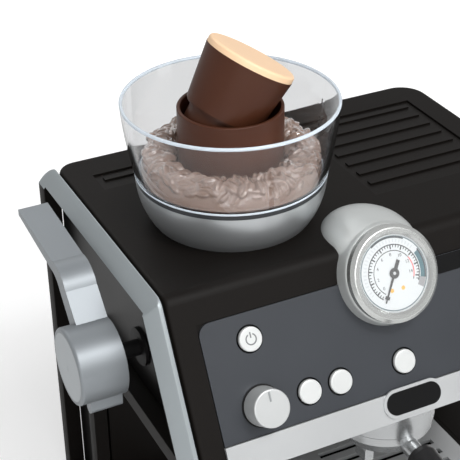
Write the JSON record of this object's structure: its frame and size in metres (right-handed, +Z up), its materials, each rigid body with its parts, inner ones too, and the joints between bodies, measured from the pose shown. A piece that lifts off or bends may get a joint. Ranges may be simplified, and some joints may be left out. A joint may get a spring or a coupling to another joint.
{
  "type": "toy coffee maker",
  "caption": "Toy espresso machine: clear bean hopper with leaning coffee plug, pressure gauge, side lever that opens a trap flap, portafilter, steam wand and drip tray.",
  "frame": {"origin": "on the surface that the feet stand on, in the middle of the casing's width and of its flat top's depth", "axes": "+Z up, the control panel faces -Y, the lever is at -X"},
  "size_m": [0.2573, 0.2683, 0.2956],
  "materials": {
    "casing_black": "satin",
    "gloss_black": "glossy",
    "silver": "silver paint",
    "panel_grey": "satin",
    "brown": "satin",
    "cream": "satin",
    "clear": "clear",
    "beans": "moulded clear brown",
    "dial_white": "printed",
    "inner_grey": "moulded",
    "board_green": "board",
    "steel": "plated",
    "rubber": "matte",
    "needle_black": "satin"
  },
  "bodies": {
    "casing": {"main_housing": "casing_black", "rear_cover": "casing_black", "rear_cover_screws": "steel", "left_side_panel": "gloss_black", "right_side_panel": "gloss_black", "left_trim_frame": "silver", "cup_rest": "casing_black", "control_panel": "panel_grey", "brew_bar": "silver", "badge_surround": "silver", "badge_insert": "gloss_black", "knob_collars": "gloss_black", "circuit_board": "board_green", "gauge_housing": "silver", "gauge_bezel": "silver", "gauge_dial": "dial_white", "gauge_lens": "clear", "gauge_needle": "needle_black", "hopper_base": "silver", "seal_ring": "gloss_black", "hopper_bowl": "clear", "bean_insert": "beans", "chute_collar": "brown", "lever_bush": "inner_grey", "gear_frame": "inner_grey", "group_head": "silver", "group_gasket": "rubber", "wand_mount": "gloss_black", "base_plate": "casing_black", "battery_box": "inner_grey", "batteries": "steel", "battery_contacts": "steel", "battery_door": "casing_black", "battery_door_screw": "steel", "rubber_feet": "rubber", "speaker": "inner_grey", "indicator_window": "gloss_black"},
    "lever": {"lever_arm": "silver", "lever_end_cap": "silver", "lever_shaft": "inner_grey", "drive_gear": "inner_grey"},
    "flap": {"chute_flap": "brown", "flap_shaft": "steel", "flap_gear": "inner_grey"},
    "coffee_plug": {"plug_body": "brown", "plug_cap": "cream"},
    "power_key": {"power_button": "silver"},
    "outer_key": {"button_outer": "silver"},
    "inner_key": {"button_inner": "silver"},
    "centre_key": {"button_centre": "silver"},
    "left_knob": {"brew_knob": "silver"},
    "right_knob": {"steam_knob": "silver"},
    "portafilter": {"portafilter_head": "silver", "filter_basket": "silver", "portafilter_spouts": "silver", "portafilter_handle": "casing_black"},
    "wand": {"steam_wand": "silver", "wand_grip": "rubber"},
    "tray": {"drip_tray": "casing_black"},
    "grille": {"drip_grille": "silver"}
  },
  "joints": [
    {"name": "lever_hinge", "type": "hinge", "parent": "casing", "child": "lever", "pos_m": [-0.13, -0.0408, 0.1608], "axis": [1, 0, 0], "range_deg": [0, 80]},
    {"name": "flap_hinge", "type": "hinge", "parent": "casing", "child": "flap", "pos_m": [-0.06, -0.0408, 0.1408], "axis": [1, 0, 0], "range_deg": [-80, 0]},
    {"name": "plug_lift", "type": "slide", "parent": "casing", "child": "coffee_plug", "axis": [0, 0, 1], "range_m": [0, 0.1]},
    {"name": "power_press", "type": "slide", "parent": "casing", "child": "power_key", "axis": [0, 0.878, -0.4787], "range_m": [0, 0.0015], "stiffness_N_per_m": 300, "springref_m": -0.0005},
    {"name": "outer_press", "type": "slide", "parent": "casing", "child": "outer_key", "axis": [0, 0.878, -0.4787], "range_m": [0, 0.0015], "stiffness_N_per_m": 300, "springref_m": -0.0005},
    {"name": "inner_press", "type": "slide", "parent": "casing", "child": "inner_key", "axis": [0, 0.878, -0.4787], "range_m": [0, 0.0015], "stiffness_N_per_m": 300, "springref_m": -0.0005},
    {"name": "centre_press", "type": "slide", "parent": "casing", "child": "centre_key", "axis": [0, 0.878, -0.4787], "range_m": [0, 0.0015], "stiffness_N_per_m": 300, "springref_m": -0.0005},
    {"name": "left_knob_turn", "type": "hinge", "parent": "casing", "child": "left_knob", "pos_m": [-0.0756, -0.09855, 0.15338], "axis": [0, -0.878, 0.4787], "range_deg": [-150, 150]},
    {"name": "right_knob_turn", "type": "hinge", "parent": "casing", "child": "right_knob", "pos_m": [0.0756, -0.09855, 0.15338], "axis": [0, -0.878, 0.4787], "range_deg": [-150, 150]},
    {"name": "portafilter_twist", "type": "hinge", "parent": "casing", "child": "portafilter", "pos_m": [0, -0.084, 0.11], "axis": [0, 0, 1], "range_deg": [-45, 0]},
    {"name": "wand_swivel", "type": "hinge", "parent": "casing", "child": "wand", "pos_m": [0.082, -0.088, 0.12], "axis": [0, 0, 1], "range_deg": [-60, 60]},
    {"name": "tray_slide", "type": "slide", "parent": "casing", "child": "tray", "axis": [0, -1, 0], "range_m": [0, 0.1]},
    {"name": "grille_lift", "type": "slide", "parent": "tray", "child": "grille", "axis": [0, 0, 1], "range_m": [0, 0.012]}
  ],
  "couplings": [
    {"joint": "flap_hinge", "follows": "lever_hinge", "ratio": -1}
  ]
}
